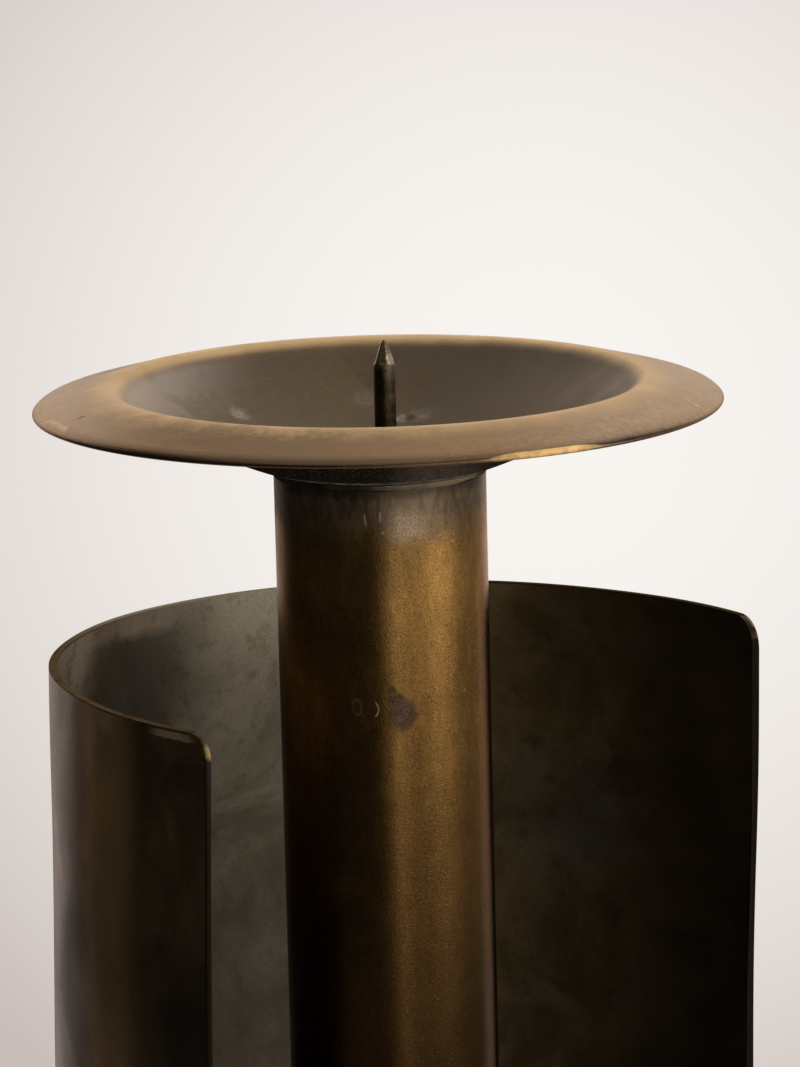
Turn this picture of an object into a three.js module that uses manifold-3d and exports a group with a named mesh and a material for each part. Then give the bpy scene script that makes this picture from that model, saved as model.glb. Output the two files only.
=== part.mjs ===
// Candle holder: a spun drip pan with a pricket spike, on a round stem, half ringed by a
// bent sheet screen that stands with it on a round base plate.
// Millimetres, +Z up. The origin is the middle of the felt's underside, +X is to the right
// of somebody who looks along +Y, and the screen is open towards +X and -Y.

import * as THREE from 'three';
import { mergeVertices } from 'three/addons/utils/BufferGeometryUtils.js';
import Module from 'manifold-3d';

const wasm = await Module();
wasm.setup();

// Base: a brass plate on a felt pad
const BASE_MARGIN = 4; // plate that shows outside the screen
const BASE_THICKNESS = 4;
const BASE_CHAMFER = 0.6;
const COUNTERBORE_RADIUS = 9;
const COUNTERBORE_DEPTH = 1.5;
const FELT_THICKNESS = 2.5;
const FELT_INSET = 3; // from the plate's edge

// Screen: one sheet, bent to part of a cylinder round the origin's axis
const SCREEN_RADIUS = 74; // outside
const SCREEN_SHEET = 1.5;
const SCREEN_HEIGHT = 159.5;
const SCREEN_CORNER = 4.5; // rounding of the two top corners
const SCREEN_RIGHT_ANGLE = 30; // right-hand end, degrees from +X towards +Y
const SCREEN_LEFT_ANGLE = 235.2; // left-hand end
const SCREEN_BEAD = 2.5; // leg of the solder seam along the sheet's foot

// Stem: a tube that leans a little to the left, as the handmade one does
const STEM_X = -6;
const STEM_Y = -28;
const STEM_LEAN = 1.4; // degrees
const STEM_RADIUS = 19.6; // outside
const STEM_WALL = 1.5;
const STEM_LENGTH = 201;
const STEM_CHAMFER = 0.3;
const PLUG_HEIGHT = 12;

// Screw that holds the stem's foot plug down on the plate
const BOLT_RADIUS = 3;
const BOLT_GRIP = 9; // thread in the plug
const BOLT_HEAD_RADIUS = 5.5;
const BOLT_HEAD_HEIGHT = 1.9;
const BOLT_SOCKET_RADIUS = 2.3;
const BOLT_SOCKET_DEPTH = 1.1;
const BOLT_PLAY = 1; // hole in the plate over the screw, on the radius
const BOLT_WASHER_RADIUS = 7;
const BOLT_WASHER_THICKNESS = 0.8;

// Drip pan: a bowl, a rounded crest and a flange that falls to the edge
const PAN_RADIUS = 63.5;
const PAN_SHEET = 0.8;
const CREST_RADIUS = 49.7; // from the pan's axis to the crest
const CREST_RISE = 4.3; // crest above the middle of the outer edge
const CREST_ROUND = 3; // rounding of the crest on the bowl's side, on the upper face
const CREST_FALL = 8; // its rounding on the flange's side
const EDGE_ROLL = 4; // rounding where the flange rolls over to its edge
const EDGE_SLOPE = 50; // degrees, the slope that the roll ends with
const BOWL_DEPTH = 18.8; // crest to the floor's middle
const BOWL_WALL_ANGLE = 36; // degrees, where the wall meets the crest
const PAN_BEAD = 1.3; // leg of the solder bead under the pan

// Pricket spike with its collar, washer and nut
const SPIKE_RADIUS = 2;
const SPIKE_REACH = 26.1; // tip above the bowl's floor
const SPIKE_POINT = 4.7; // length of the ground point
const SPIKE_TIP_RADIUS = 0.15;
const SPIKE_OFFSET = 1.3; // right of the pan's middle
const SPIKE_COLLAR_RADIUS = 4.2;
const SPIKE_COLLAR_HEIGHT = 1.6;
const SPIKE_TAIL = 1.2; // thread that stands out of the nut
const SPIKE_WASHER_RADIUS = 4.8;
const SPIKE_WASHER_THICKNESS = 0.8;
const NUT_RADIUS = 4.04; // across the corners, halved
const NUT_HEIGHT = 3.2;

// Clearances and facets
const SEAT_GAP = 0.3; // between pieces that bear on each other inside the leaning stem
const HOLE_GAP = 0.3; // round a screw or spike, on the radius
const PAN_FACETS = 64;
const PLATE_FACETS = 96;
const STEM_FACETS = 64;
const SMALL_FACETS = 24;
const SCREEN_STEPS = 64; // along the arc between the rounded corners
const CORNER_STEPS = 6;
const BOWL_STEPS = 12;
const CREST_STEPS = 5;
const FALL_STEPS = 3;
const EDGE_STEPS = 3;
const BEAD_STEPS = 3;

const DEGREE = Math.PI / 180;
const lean = STEM_LEAN * DEGREE;
const plateTop = FELT_THICKNESS + BASE_THICKNESS;
const plateRadius = SCREEN_RADIUS + BASE_MARGIN;
const screenInside = SCREEN_RADIUS - SCREEN_SHEET;

// Materials

function metal(color, roughness, metalness = 1) {
  return new THREE.MeshStandardMaterial({ color, roughness, metalness });
}

const panBrass = metal(0x8a6a45, 0.42);
const stemBrass = metal(0x6b4a22, 0.36);
const screenBrass = metal(0x3a3024, 0.5);
const spikeBrass = metal(0x5a4a30, 0.35);
const solder = metal(0x77776a, 0.6);
const steel = metal(0x8d8f92, 0.4);
const felt = metal(0x2c3a2c, 0.95, 0);

// Geometry helpers

// A solid of revolution about Z from a closed or axis-to-axis outline of [radius, height],
// given anticlockwise with the radius to the right and the height upwards.
function turned(outline, facets) {
  const points = outline.map(([radius, height]) => new THREE.Vector2(radius, height));
  return new THREE.LatheGeometry(points, facets).rotateX(Math.PI / 2);
}

// A washer or collar: a ring of rectangular section, with its lower face at height from.
function ring(inner, outer, from, height, facets) {
  const to = from + height;
  return turned([[inner, from], [outer, from], [outer, to], [inner, to], [inner, from]], facets);
}

// A plain round bar, with its lower face at height from.
function disc(radius, from, height, facets) {
  return turned([[0, from], [radius, from], [radius, from + height], [0, from + height]], facets);
}

// An upright hexagonal bar, measured across its corners.
function hexagon(radius, from, height, bore = 0) {
  const outline = new THREE.Shape();
  for (let corner = 0; corner < 6; corner += 1) {
    const angle = corner * 60 * DEGREE;
    const move = corner === 0 ? 'moveTo' : 'lineTo';
    outline[move](radius * Math.cos(angle), radius * Math.sin(angle));
  }
  outline.closePath();
  if (bore > 0) {
    outline.holes.push(new THREE.Path().absarc(0, 0, bore, 0, 2 * Math.PI, true));
  }
  const bar = new THREE.ExtrudeGeometry(outline, {
    depth: height, bevelEnabled: false, curveSegments: SMALL_FACETS,
  });
  return bar.translate(0, 0, from);
}

// Wraps an extrusion round the Z axis: its X becomes the distance outside radius, and station
// turns its Z, from 0 to 1, and its Y into the share of the arc from the left end to the right
// end and the height.
function bentRound(geometry, radius, leftEnd, rightEnd, station) {
  const position = geometry.attributes.position;
  for (let i = 0; i < position.count; i += 1) {
    const { share, height } = station(position.getZ(i), position.getY(i));
    const angle = (leftEnd + share * (rightEnd - leftEnd)) * DEGREE;
    const distance = radius + position.getX(i);
    position.setXYZ(i, distance * Math.cos(angle), distance * Math.sin(angle), height);
  }
  return geometry;
}

// A closed mesh with shared vertices, as the boolean library wants it.
function toSolid(geometry) {
  const bare = geometry.clone();
  bare.deleteAttribute('normal');
  bare.deleteAttribute('uv');
  const merged = mergeVertices(bare, 1e-4);
  const index = merged.index.array;
  const corners = [];
  for (let i = 0; i < index.length; i += 3) {
    const [a, b, c] = [index[i], index[i + 1], index[i + 2]];
    if (a !== b && b !== c && c !== a) corners.push(a, b, c);
  }
  return new wasm.Manifold(new wasm.Mesh({
    numProp: 3,
    vertProperties: Float32Array.from(merged.attributes.position.array),
    triVerts: Uint32Array.from(corners),
  }));
}

function cut(geometry, ...cutters) {
  let solid = toSolid(geometry);
  for (const cutter of cutters) solid = solid.subtract(toSolid(cutter));
  const result = solid.getMesh();
  const left = new THREE.BufferGeometry();
  left.setAttribute('position', new THREE.BufferAttribute(result.vertProperties, 3));
  left.setIndex(new THREE.BufferAttribute(result.triVerts, 1));
  left.computeVertexNormals();
  return left;
}

function place(group, name, geometry, material) {
  const mesh = new THREE.Mesh(geometry, material);
  mesh.name = name;
  group.add(mesh);
}

// Base plate and felt

const UNDERCUT = 1; // how far a cutter starts outside the face that it opens

function basePlate() {
  const [low, high] = [FELT_THICKNESS, plateTop];
  const plate = turned([
    [0, low],
    [plateRadius - BASE_CHAMFER, low],
    [plateRadius, low + BASE_CHAMFER],
    [plateRadius, high - BASE_CHAMFER],
    [plateRadius - BASE_CHAMFER, high],
    [0, high],
  ], PLATE_FACETS);
  const hole = disc(BOLT_RADIUS + BOLT_PLAY, low - UNDERCUT, BASE_THICKNESS + 2 * UNDERCUT, SMALL_FACETS);
  const recess = disc(COUNTERBORE_RADIUS, low - UNDERCUT, COUNTERBORE_DEPTH + UNDERCUT, SMALL_FACETS);
  return cut(plate, hole.translate(STEM_X, STEM_Y, 0), recess.translate(STEM_X, STEM_Y, 0));
}

function feltPad() {
  const pad = disc(plateRadius - FELT_INSET, 0, FELT_THICKNESS, PLATE_FACETS);
  const window = disc(COUNTERBORE_RADIUS, -UNDERCUT, FELT_THICKNESS + 2 * UNDERCUT, SMALL_FACETS);
  return cut(pad, window.translate(STEM_X, STEM_Y, 0));
}

// Screen and its solder seam

// The stations in a corner lie closer together towards the end, and the top edge follows the
// corner's quarter circle there.
function screenSheet() {
  const arcLength = screenInside * (SCREEN_LEFT_ANGLE - SCREEN_RIGHT_ANGLE) * DEGREE;
  const cornerShare = SCREEN_CORNER / arcLength;
  const steps = SCREEN_STEPS + 2 * CORNER_STEPS;
  const section = new THREE.Shape([
    new THREE.Vector2(0, 0),
    new THREE.Vector2(SCREEN_SHEET, 0),
    new THREE.Vector2(SCREEN_SHEET, SCREEN_HEIGHT),
    new THREE.Vector2(0, SCREEN_HEIGHT),
  ]);
  const sheet = new THREE.ExtrudeGeometry(section, { depth: 1, steps, bevelEnabled: false });

  return bentRound(sheet, screenInside, SCREEN_LEFT_ANGLE, SCREEN_RIGHT_ANGLE, (along, height) => {
    const step = Math.round(along * steps);
    const fromEnd = Math.min(step, steps - step);
    let share = cornerShare + (1 - 2 * cornerShare) * (step - CORNER_STEPS) / SCREEN_STEPS;
    let drop = 0;
    if (fromEnd < CORNER_STEPS) {
      const turn = fromEnd / CORNER_STEPS * Math.PI / 2;
      const inset = cornerShare * (1 - Math.cos(turn));
      share = step === fromEnd ? inset : 1 - inset;
      drop = SCREEN_CORNER * (1 - Math.sin(turn));
    }
    return { share, height: plateTop + (height > 0 ? height - drop : 0) };
  });
}

// A concave fillet between the plate and the sheet's inner face, drawn in towards its ends.
function screenSolder() {
  const seam = new THREE.Shape();
  seam.moveTo(0, 0);
  seam.lineTo(0, SCREEN_BEAD);
  seam.absarc(-SCREEN_BEAD, SCREEN_BEAD, SCREEN_BEAD, 0, -Math.PI / 2, true);
  seam.closePath();
  const bead = new THREE.ExtrudeGeometry(seam, {
    depth: 1, steps: SCREEN_STEPS, bevelEnabled: false, curveSegments: BEAD_STEPS,
  });
  const inset = SCREEN_BEAD / screenInside / DEGREE;
  const [left, right] = [SCREEN_LEFT_ANGLE - inset, SCREEN_RIGHT_ANGLE + inset];
  return bentRound(bead, screenInside - SEAT_GAP, left, right, (share, height) => ({
    share, height: plateTop + height,
  }));
}

// Stem, foot plug, screw and washer, in the leaning stem's own frame: Z runs up its axis
// from the plate's top

const stemFoot = SEAT_GAP + STEM_RADIUS * Math.sin(lean);
const stemTop = stemFoot + STEM_LENGTH;
const stemInside = STEM_RADIUS - STEM_WALL;
const washerTop = COUNTERBORE_DEPTH - BASE_THICKNESS - SEAT_GAP - BOLT_WASHER_RADIUS * Math.sin(lean);
const headTop = washerTop - BOLT_WASHER_THICKNESS - SEAT_GAP;

function stemTube() {
  return turned([
    [stemInside, stemFoot],
    [STEM_RADIUS - STEM_CHAMFER, stemFoot],
    [STEM_RADIUS, stemFoot + STEM_CHAMFER],
    [STEM_RADIUS, stemTop - STEM_CHAMFER],
    [STEM_RADIUS - STEM_CHAMFER, stemTop],
    [stemInside, stemTop],
    [stemInside, stemFoot],
  ], STEM_FACETS);
}

function footPlug() {
  return ring(BOLT_RADIUS + HOLE_GAP, stemInside - SEAT_GAP, stemFoot, PLUG_HEIGHT, STEM_FACETS);
}

function footBolt() {
  const head = headTop - BOLT_HEAD_HEIGHT;
  const end = stemFoot + BOLT_GRIP;
  const screw = turned([
    [0, head],
    [BOLT_HEAD_RADIUS, head],
    [BOLT_HEAD_RADIUS, headTop],
    [BOLT_RADIUS, headTop],
    [BOLT_RADIUS, end],
    [0, end],
  ], SMALL_FACETS);
  return cut(screw, hexagon(BOLT_SOCKET_RADIUS, head - UNDERCUT, BOLT_SOCKET_DEPTH + UNDERCUT));
}

function footWasher() {
  const low = washerTop - BOLT_WASHER_THICKNESS;
  return ring(BOLT_RADIUS + HOLE_GAP, BOLT_WASHER_RADIUS, low, BOLT_WASHER_THICKNESS, SMALL_FACETS);
}

// Drip pan, in its own frame: Z is 0 at the middle of the outer edge

const wallAngle = BOWL_WALL_ANGLE * DEGREE;
const crestCentre = CREST_RISE - CREST_ROUND;
const edgeCentre = PAN_RADIUS - PAN_SHEET / 2;
const bowlFloor = CREST_RISE - BOWL_DEPTH;
const bowlRim = CREST_RADIUS - CREST_ROUND * Math.sin(wallAngle);
const bowlRimHeight = crestCentre + CREST_ROUND * Math.cos(wallAngle);

// The bowl rises as a power of the radius: flat in the middle, with the wall's angle at its rim.
const bowlPower = bowlRim * Math.tan(wallAngle) / (bowlRimHeight - bowlFloor);

function bowlHeight(radius) {
  return bowlFloor + (bowlRimHeight - bowlFloor) * (radius / bowlRim) ** bowlPower;
}

function bowlSlope(radius) {
  return Math.tan(wallAngle) * (radius / bowlRim) ** (bowlPower - 1);
}

function bowlUnderside(radius) {
  return bowlHeight(radius) - PAN_SHEET * Math.hypot(1, bowlSlope(radius));
}

// The flange is straight between two roundings: the crest's, and the roll at its outer edge,
// whose centre lies so that it ends on the edge with the slope named. The straight touches both.
const edgeAngle = EDGE_SLOPE * DEGREE;
const rollRadius = edgeCentre - (EDGE_ROLL - PAN_SHEET / 2) * Math.sin(edgeAngle);
const rollHeight = -(EDGE_ROLL - PAN_SHEET / 2) * Math.cos(edgeAngle);
const fallHeight = CREST_RISE - CREST_FALL;
const reach = rollRadius - CREST_RADIUS;
const rise = rollHeight - fallHeight;
const flangeAngle = Math.asin((CREST_FALL - EDGE_ROLL) / Math.hypot(reach, rise))
  - Math.atan2(rise, reach);

const up = Math.PI / 2;

function arc(centreRadius, centreHeight, radius, from, to, steps) {
  return Array.from({ length: steps + 1 }, (_, step) => {
    const angle = from + (to - from) * step / steps;
    return [centreRadius + radius * Math.cos(angle), centreHeight + radius * Math.sin(angle)];
  });
}

// Crest and flange from the bowl's rim out to the edge, at a depth below the upper face.
function crestAndFlange(depth) {
  const crestOut = up - flangeAngle;
  return [
    ...arc(CREST_RADIUS, crestCentre, CREST_ROUND - depth, up + wallAngle, up, CREST_STEPS),
    ...arc(CREST_RADIUS, fallHeight, CREST_FALL - depth, up, crestOut, FALL_STEPS).slice(1),
    ...arc(rollRadius, rollHeight, EDGE_ROLL - depth, crestOut, up - edgeAngle, FALL_STEPS),
  ];
}

function dripPan() {
  const lowerRim = bowlRim + PAN_SHEET * Math.sin(wallAngle);
  const floorToRim = (rim, height) => Array.from({ length: BOWL_STEPS }, (_, step) => {
    const radius = rim * step / BOWL_STEPS;
    return [radius, height(radius)];
  });
  const under = floorToRim(lowerRim, bowlUnderside);
  const upper = floorToRim(bowlRim, bowlHeight).reverse();
  const edgeUp = up - edgeAngle;
  const pan = turned([
    ...under,
    ...crestAndFlange(PAN_SHEET),
    ...arc(edgeCentre, 0, PAN_SHEET / 2, edgeUp - Math.PI, edgeUp, EDGE_STEPS).slice(1, -1),
    ...crestAndFlange(0).reverse(),
    ...upper,
  ], PAN_FACETS);
  const hole = disc(SPIKE_RADIUS + HOLE_GAP, bowlFloor - BOWL_DEPTH, 2 * BOWL_DEPTH, SMALL_FACETS);
  return cut(pan, hole.translate(SPIKE_OFFSET, 0, 0));
}

// A bead in the corner between the stem's outside and the bowl's underside.
function panSolder() {
  const inner = STEM_RADIUS + SEAT_GAP;
  const outer = inner + PAN_BEAD;
  const below = (radius) => bowlUnderside(radius) - SEAT_GAP;
  return turned([
    [inner, below(inner) - PAN_BEAD],
    [outer, below(outer)],
    [inner, below(inner)],
    [inner, below(inner) - PAN_BEAD],
  ], STEM_FACETS);
}

// Spike, washer and nut, on the spike's own axis and at the pan's height

const collarLow = bowlHeight(SPIKE_OFFSET + SPIKE_COLLAR_RADIUS) + SEAT_GAP;
const spikeWasherTop = bowlUnderside(0) - SEAT_GAP;
const nutTop = spikeWasherTop - SPIKE_WASHER_THICKNESS - SEAT_GAP;

function pricketSpike() {
  const tip = bowlFloor + SPIKE_REACH;
  const shoulder = collarLow + SPIKE_COLLAR_HEIGHT;
  const end = nutTop - NUT_HEIGHT - SPIKE_TAIL;
  return turned([
    [0, end],
    [SPIKE_RADIUS, end],
    [SPIKE_RADIUS, collarLow],
    [SPIKE_COLLAR_RADIUS, collarLow],
    [SPIKE_COLLAR_RADIUS, shoulder],
    [SPIKE_RADIUS, shoulder],
    [SPIKE_RADIUS, tip - SPIKE_POINT],
    [SPIKE_TIP_RADIUS, tip],
    [0, tip],
  ], SMALL_FACETS);
}

function spikeWasher() {
  const low = spikeWasherTop - SPIKE_WASHER_THICKNESS;
  return ring(SPIKE_RADIUS + HOLE_GAP, SPIKE_WASHER_RADIUS, low, SPIKE_WASHER_THICKNESS, SMALL_FACETS);
}

function spikeNut() {
  return hexagon(NUT_RADIUS, nutTop - NUT_HEIGHT, NUT_HEIGHT, SPIKE_RADIUS + HOLE_GAP);
}

// Assembly

const holder = new THREE.Group();
place(holder, 'felt_pad', feltPad(), felt);
place(holder, 'base_plate', basePlate(), screenBrass);
place(holder, 'screen_sheet', screenSheet(), screenBrass);
place(holder, 'screen_solder', screenSolder(), solder);

const stem = new THREE.Group();
stem.position.set(STEM_X, STEM_Y, plateTop);
stem.rotation.y = -lean;
holder.add(stem);
place(stem, 'stem_tube', stemTube(), stemBrass);
place(stem, 'stem_foot_plug', footPlug(), stemBrass);
place(stem, 'foot_bolt', footBolt(), steel);
place(stem, 'foot_washer', footWasher(), steel);

const pan = new THREE.Group();
pan.position.z = stemTop + SEAT_GAP - bowlUnderside(stemInside);
stem.add(pan);
place(pan, 'drip_pan', dripPan(), panBrass);
place(pan, 'pan_solder', panSolder(), solder);

const spike = new THREE.Group();
spike.position.x = SPIKE_OFFSET;
pan.add(spike);
place(spike, 'pricket_spike', pricketSpike(), spikeBrass);
place(spike, 'spike_washer', spikeWasher(), steel);
place(spike, 'spike_nut', spikeNut(), steel);

export default holder;
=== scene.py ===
import math

import bmesh
import bpy
import numpy as np
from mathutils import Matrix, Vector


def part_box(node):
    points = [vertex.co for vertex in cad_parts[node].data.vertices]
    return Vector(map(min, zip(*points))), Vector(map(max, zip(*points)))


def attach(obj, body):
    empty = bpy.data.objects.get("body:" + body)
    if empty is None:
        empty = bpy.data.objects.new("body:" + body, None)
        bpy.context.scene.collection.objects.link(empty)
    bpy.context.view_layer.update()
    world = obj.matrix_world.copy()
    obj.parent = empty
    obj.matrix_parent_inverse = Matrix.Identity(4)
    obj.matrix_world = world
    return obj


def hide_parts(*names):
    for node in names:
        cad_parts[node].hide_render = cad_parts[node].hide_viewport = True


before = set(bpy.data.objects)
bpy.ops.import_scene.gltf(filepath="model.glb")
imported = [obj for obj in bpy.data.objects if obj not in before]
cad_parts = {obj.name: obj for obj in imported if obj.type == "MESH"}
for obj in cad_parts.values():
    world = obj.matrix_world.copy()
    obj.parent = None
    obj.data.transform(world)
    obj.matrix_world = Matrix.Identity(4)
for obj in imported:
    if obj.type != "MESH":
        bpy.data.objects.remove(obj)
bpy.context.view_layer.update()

# Camera: the photograph's view, through a long lens and a little from above. Its place was
# fitted to the pan's edge, the stem's sides and the screen's top edge.
CAMERA_PLACE = (-0.0072, -0.9663, 0.38694)
CAMERA_PITCH = math.radians(11.48)
CAMERA_LENS = 174.9

camera = bpy.data.objects.new("camera", bpy.data.cameras.new("camera"))
camera.location = CAMERA_PLACE
camera.rotation_euler = (math.pi / 2 - CAMERA_PITCH, 0, 0)
camera.data.lens = CAMERA_LENS
bpy.context.scene.collection.objects.link(camera)
bpy.context.scene.camera = camera
bpy.context.scene.view_settings.view_transform = "Standard"


# Table top and backdrop: the holder stands on a small pale round table, well before a white
# paper backdrop that curves over it. The stem's dark left half shows that nothing pale stands
# in front or on the left, so the backdrop ends there and the rest of the room is dim.
TABLE_RADIUS = 0.24
TABLE_THICKNESS = 0.02
TABLE_EDGE = 0.004
TABLE_STEPS = 256
TABLE_COLOR = (0.80, 0.77, 0.75)
TABLE_GLOW = (0.32, 0.308, 0.300)
PAPER_RADIUS = 3.5
PAPER_LOW = math.radians(-30)
PAPER_HIGH = math.radians(80)
PAPER_HALF_ARC = math.radians(50)
PAPER_COLUMNS = 65
PAPER_ROWS = 61
PAPER_COLOR = (0.06, 0.06, 0.06)
PAPER_BRIGHT = (0.935, 0.900, 0.868)
PAPER_DUSK = (0.575, 0.505, 0.475)
BRIGHT_PLACE = (0.113, 3.47, -0.416)
DUSK_DISTANCE = 0.70
SIDE_SHADE = 0.85
ROOM_COLOR = (0.86, 0.83, 0.81)
ROOM_LIGHT = (0.019, 0.020, 0.021)


def surface(name, points, closed_down=False, closed_across=False):
    """A mesh over a grid of points, rows by columns, whose faces join each point to the next
    row's and the next column's. A closed direction joins its last line to its first. Points
    that fall together, as at a pole, are merged."""
    rows, columns = points.shape[:2]
    row = np.arange(rows if closed_down else rows - 1)[:, None]
    column = np.arange(columns if closed_across else columns - 1)[None, :]
    next_row = (row + 1) % rows
    next_column = (column + 1) % columns
    corners = [(row, column), (row, next_column), (next_row, next_column), (next_row, column)]
    faces = np.stack([a * columns + b for a, b in corners], axis=-1).reshape(-1, 4)
    mesh = bpy.data.meshes.new(name)
    mesh.from_pydata(points.reshape(-1, 3).tolist(), [], faces.tolist())
    work = bmesh.new()
    work.from_mesh(mesh)
    bmesh.ops.remove_doubles(work, verts=work.verts, dist=1e-7)
    bmesh.ops.recalc_face_normals(work, faces=work.faces)
    work.to_mesh(mesh)
    work.free()
    mesh.polygons.foreach_set("use_smooth", np.ones(len(mesh.polygons), bool))
    thing = bpy.data.objects.new(name, mesh)
    bpy.context.scene.collection.objects.link(thing)
    return thing


def turned(outline, steps, shift=(0, 0)):
    """Points of a solid of revolution: each outline point (r, z, w) goes round the circle
    (w shift x + r cos a, w shift y + r sin a, z). w is 0 on the axis of the piece, and 1 where
    a ring is centred on `shift`, as round a hole beside the axis."""
    angle = np.linspace(0, 2 * np.pi, steps, endpoint=False)
    outline = np.asarray(outline, float)
    radius, height, weight = outline[:, :1], outline[:, 1:2], outline[:, 2:3]
    x = weight * shift[0] + radius * np.cos(angle)
    y = weight * shift[1] + radius * np.sin(angle)
    return np.stack([x, y, np.broadcast_to(height, x.shape)], axis=-1)


def eased(corners, ease, steps=4, beyond=1.3):
    """A closed outline with rounded corners. Round corner P the line is
    P + (1 - t)^2 a + t^2 b for t from 0 to 1, where a and b reach `ease` along the two sides.
    One more point on each side, `beyond` times as far, keeps the flat sides flat when shaded."""
    corners = np.asarray(corners, float)
    ease = np.broadcast_to(ease, len(corners))[:, None]
    before = np.roll(corners, 1, axis=0) - corners
    after = np.roll(corners, -1, axis=0) - corners
    before *= ease / np.hypot(before[:, 0], before[:, 1])[:, None]
    after *= ease / np.hypot(after[:, 0], after[:, 1])[:, None]
    t = np.linspace(0, 1, steps + 1)
    from_before = np.concatenate([[beyond], (1 - t) ** 2, [0]])[None, :, None]
    from_after = np.concatenate([[0], t ** 2, [beyond]])[None, :, None]
    line = corners[:, None] + from_before * before[:, None] + from_after * after[:, None]
    return line.reshape(-1, corners.shape[1])


class Link:
    """A value that a node gives out. Arithmetic on it adds the Math node that does the sum."""

    def __init__(self, nodes, socket):
        self.nodes = nodes
        self.socket = socket

    def maths(self, operation, first, second):
        return self.nodes.node("ShaderNodeMath", {"operation": operation}, {0: first, 1: second})

    def __add__(self, other):
        return self.maths("ADD", self, other)

    def __radd__(self, other):
        return self.maths("ADD", other, self)

    def __sub__(self, other):
        return self.maths("SUBTRACT", self, other)

    def __rsub__(self, other):
        return self.maths("SUBTRACT", other, self)

    def __mul__(self, other):
        return self.maths("MULTIPLY", self, other)

    def __rmul__(self, other):
        return self.maths("MULTIPLY", other, self)

    def __pow__(self, other):
        return self.maths("POWER", self, other)

    def __abs__(self):
        return self.maths("ABSOLUTE", self, 0)

    def most(self, other):
        """The larger of this value and another."""
        return self.maths("MAXIMUM", self, other)


def span(x, y):
    """The distance from the Z axis: the root of x squared plus y squared."""
    return (x * x + y * y) ** 0.5


class Nodes:
    """A node tree that is being built."""

    def __init__(self, tree):
        self.tree = tree

    def node(self, kind, settings=None, sockets=None, output=0):
        """Adds a node: its settings first, then the values or links of its sockets."""
        node = self.tree.nodes.new(kind)
        for name, value in (settings or {}).items():
            setattr(node, name, value)
        self.plug(node, sockets or {})
        return Link(self, node.outputs[output])

    def plug(self, node, sockets):
        """Fills sockets, by name or number, with links or values. A colour is red, green and
        blue, and is always opaque."""
        for name, value in sockets.items():
            socket = node.inputs[name]
            if isinstance(value, Link):
                self.tree.links.new(value.socket, socket)
            elif socket.type == "RGBA":
                socket.default_value = (*value, 1)
            else:
                socket.default_value = value

    def mix(self, share, first, second):
        """The first colour where share is 0 and the second where it is 1."""
        return self.node("ShaderNodeMix", {"data_type": "RGBA"}, {0: share, 6: first, 7: second},
                         output=2)

    def coats(self, tone, *laid):
        """Lays coats over a tone, one after another. Each is a share, from 0 to 1, and a
        colour."""
        for share, color in laid:
            tone = self.mix(share, tone, color)
        return tone

    def between(self, value, low, high):
        """0 at `low`, 1 at `high` and a smooth step from one to the other."""
        return self.node("ShaderNodeMapRange", {"interpolation_type": "SMOOTHSTEP"}, {
            "Value": value, "From Min": low, "From Max": high})

    def within(self, value, start, full, fade, end):
        """0 below `start`, 1 from `full` to `fade` and 0 above `end`."""
        return self.between(value, start, full) * self.between(value, end, fade)

    def apart(self, place):
        """The x, y and z of a place."""
        whole = self.node("ShaderNodeSeparateXYZ", {}, {0: place})
        return [Link(self, output) for output in whole.socket.node.outputs]


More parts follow.
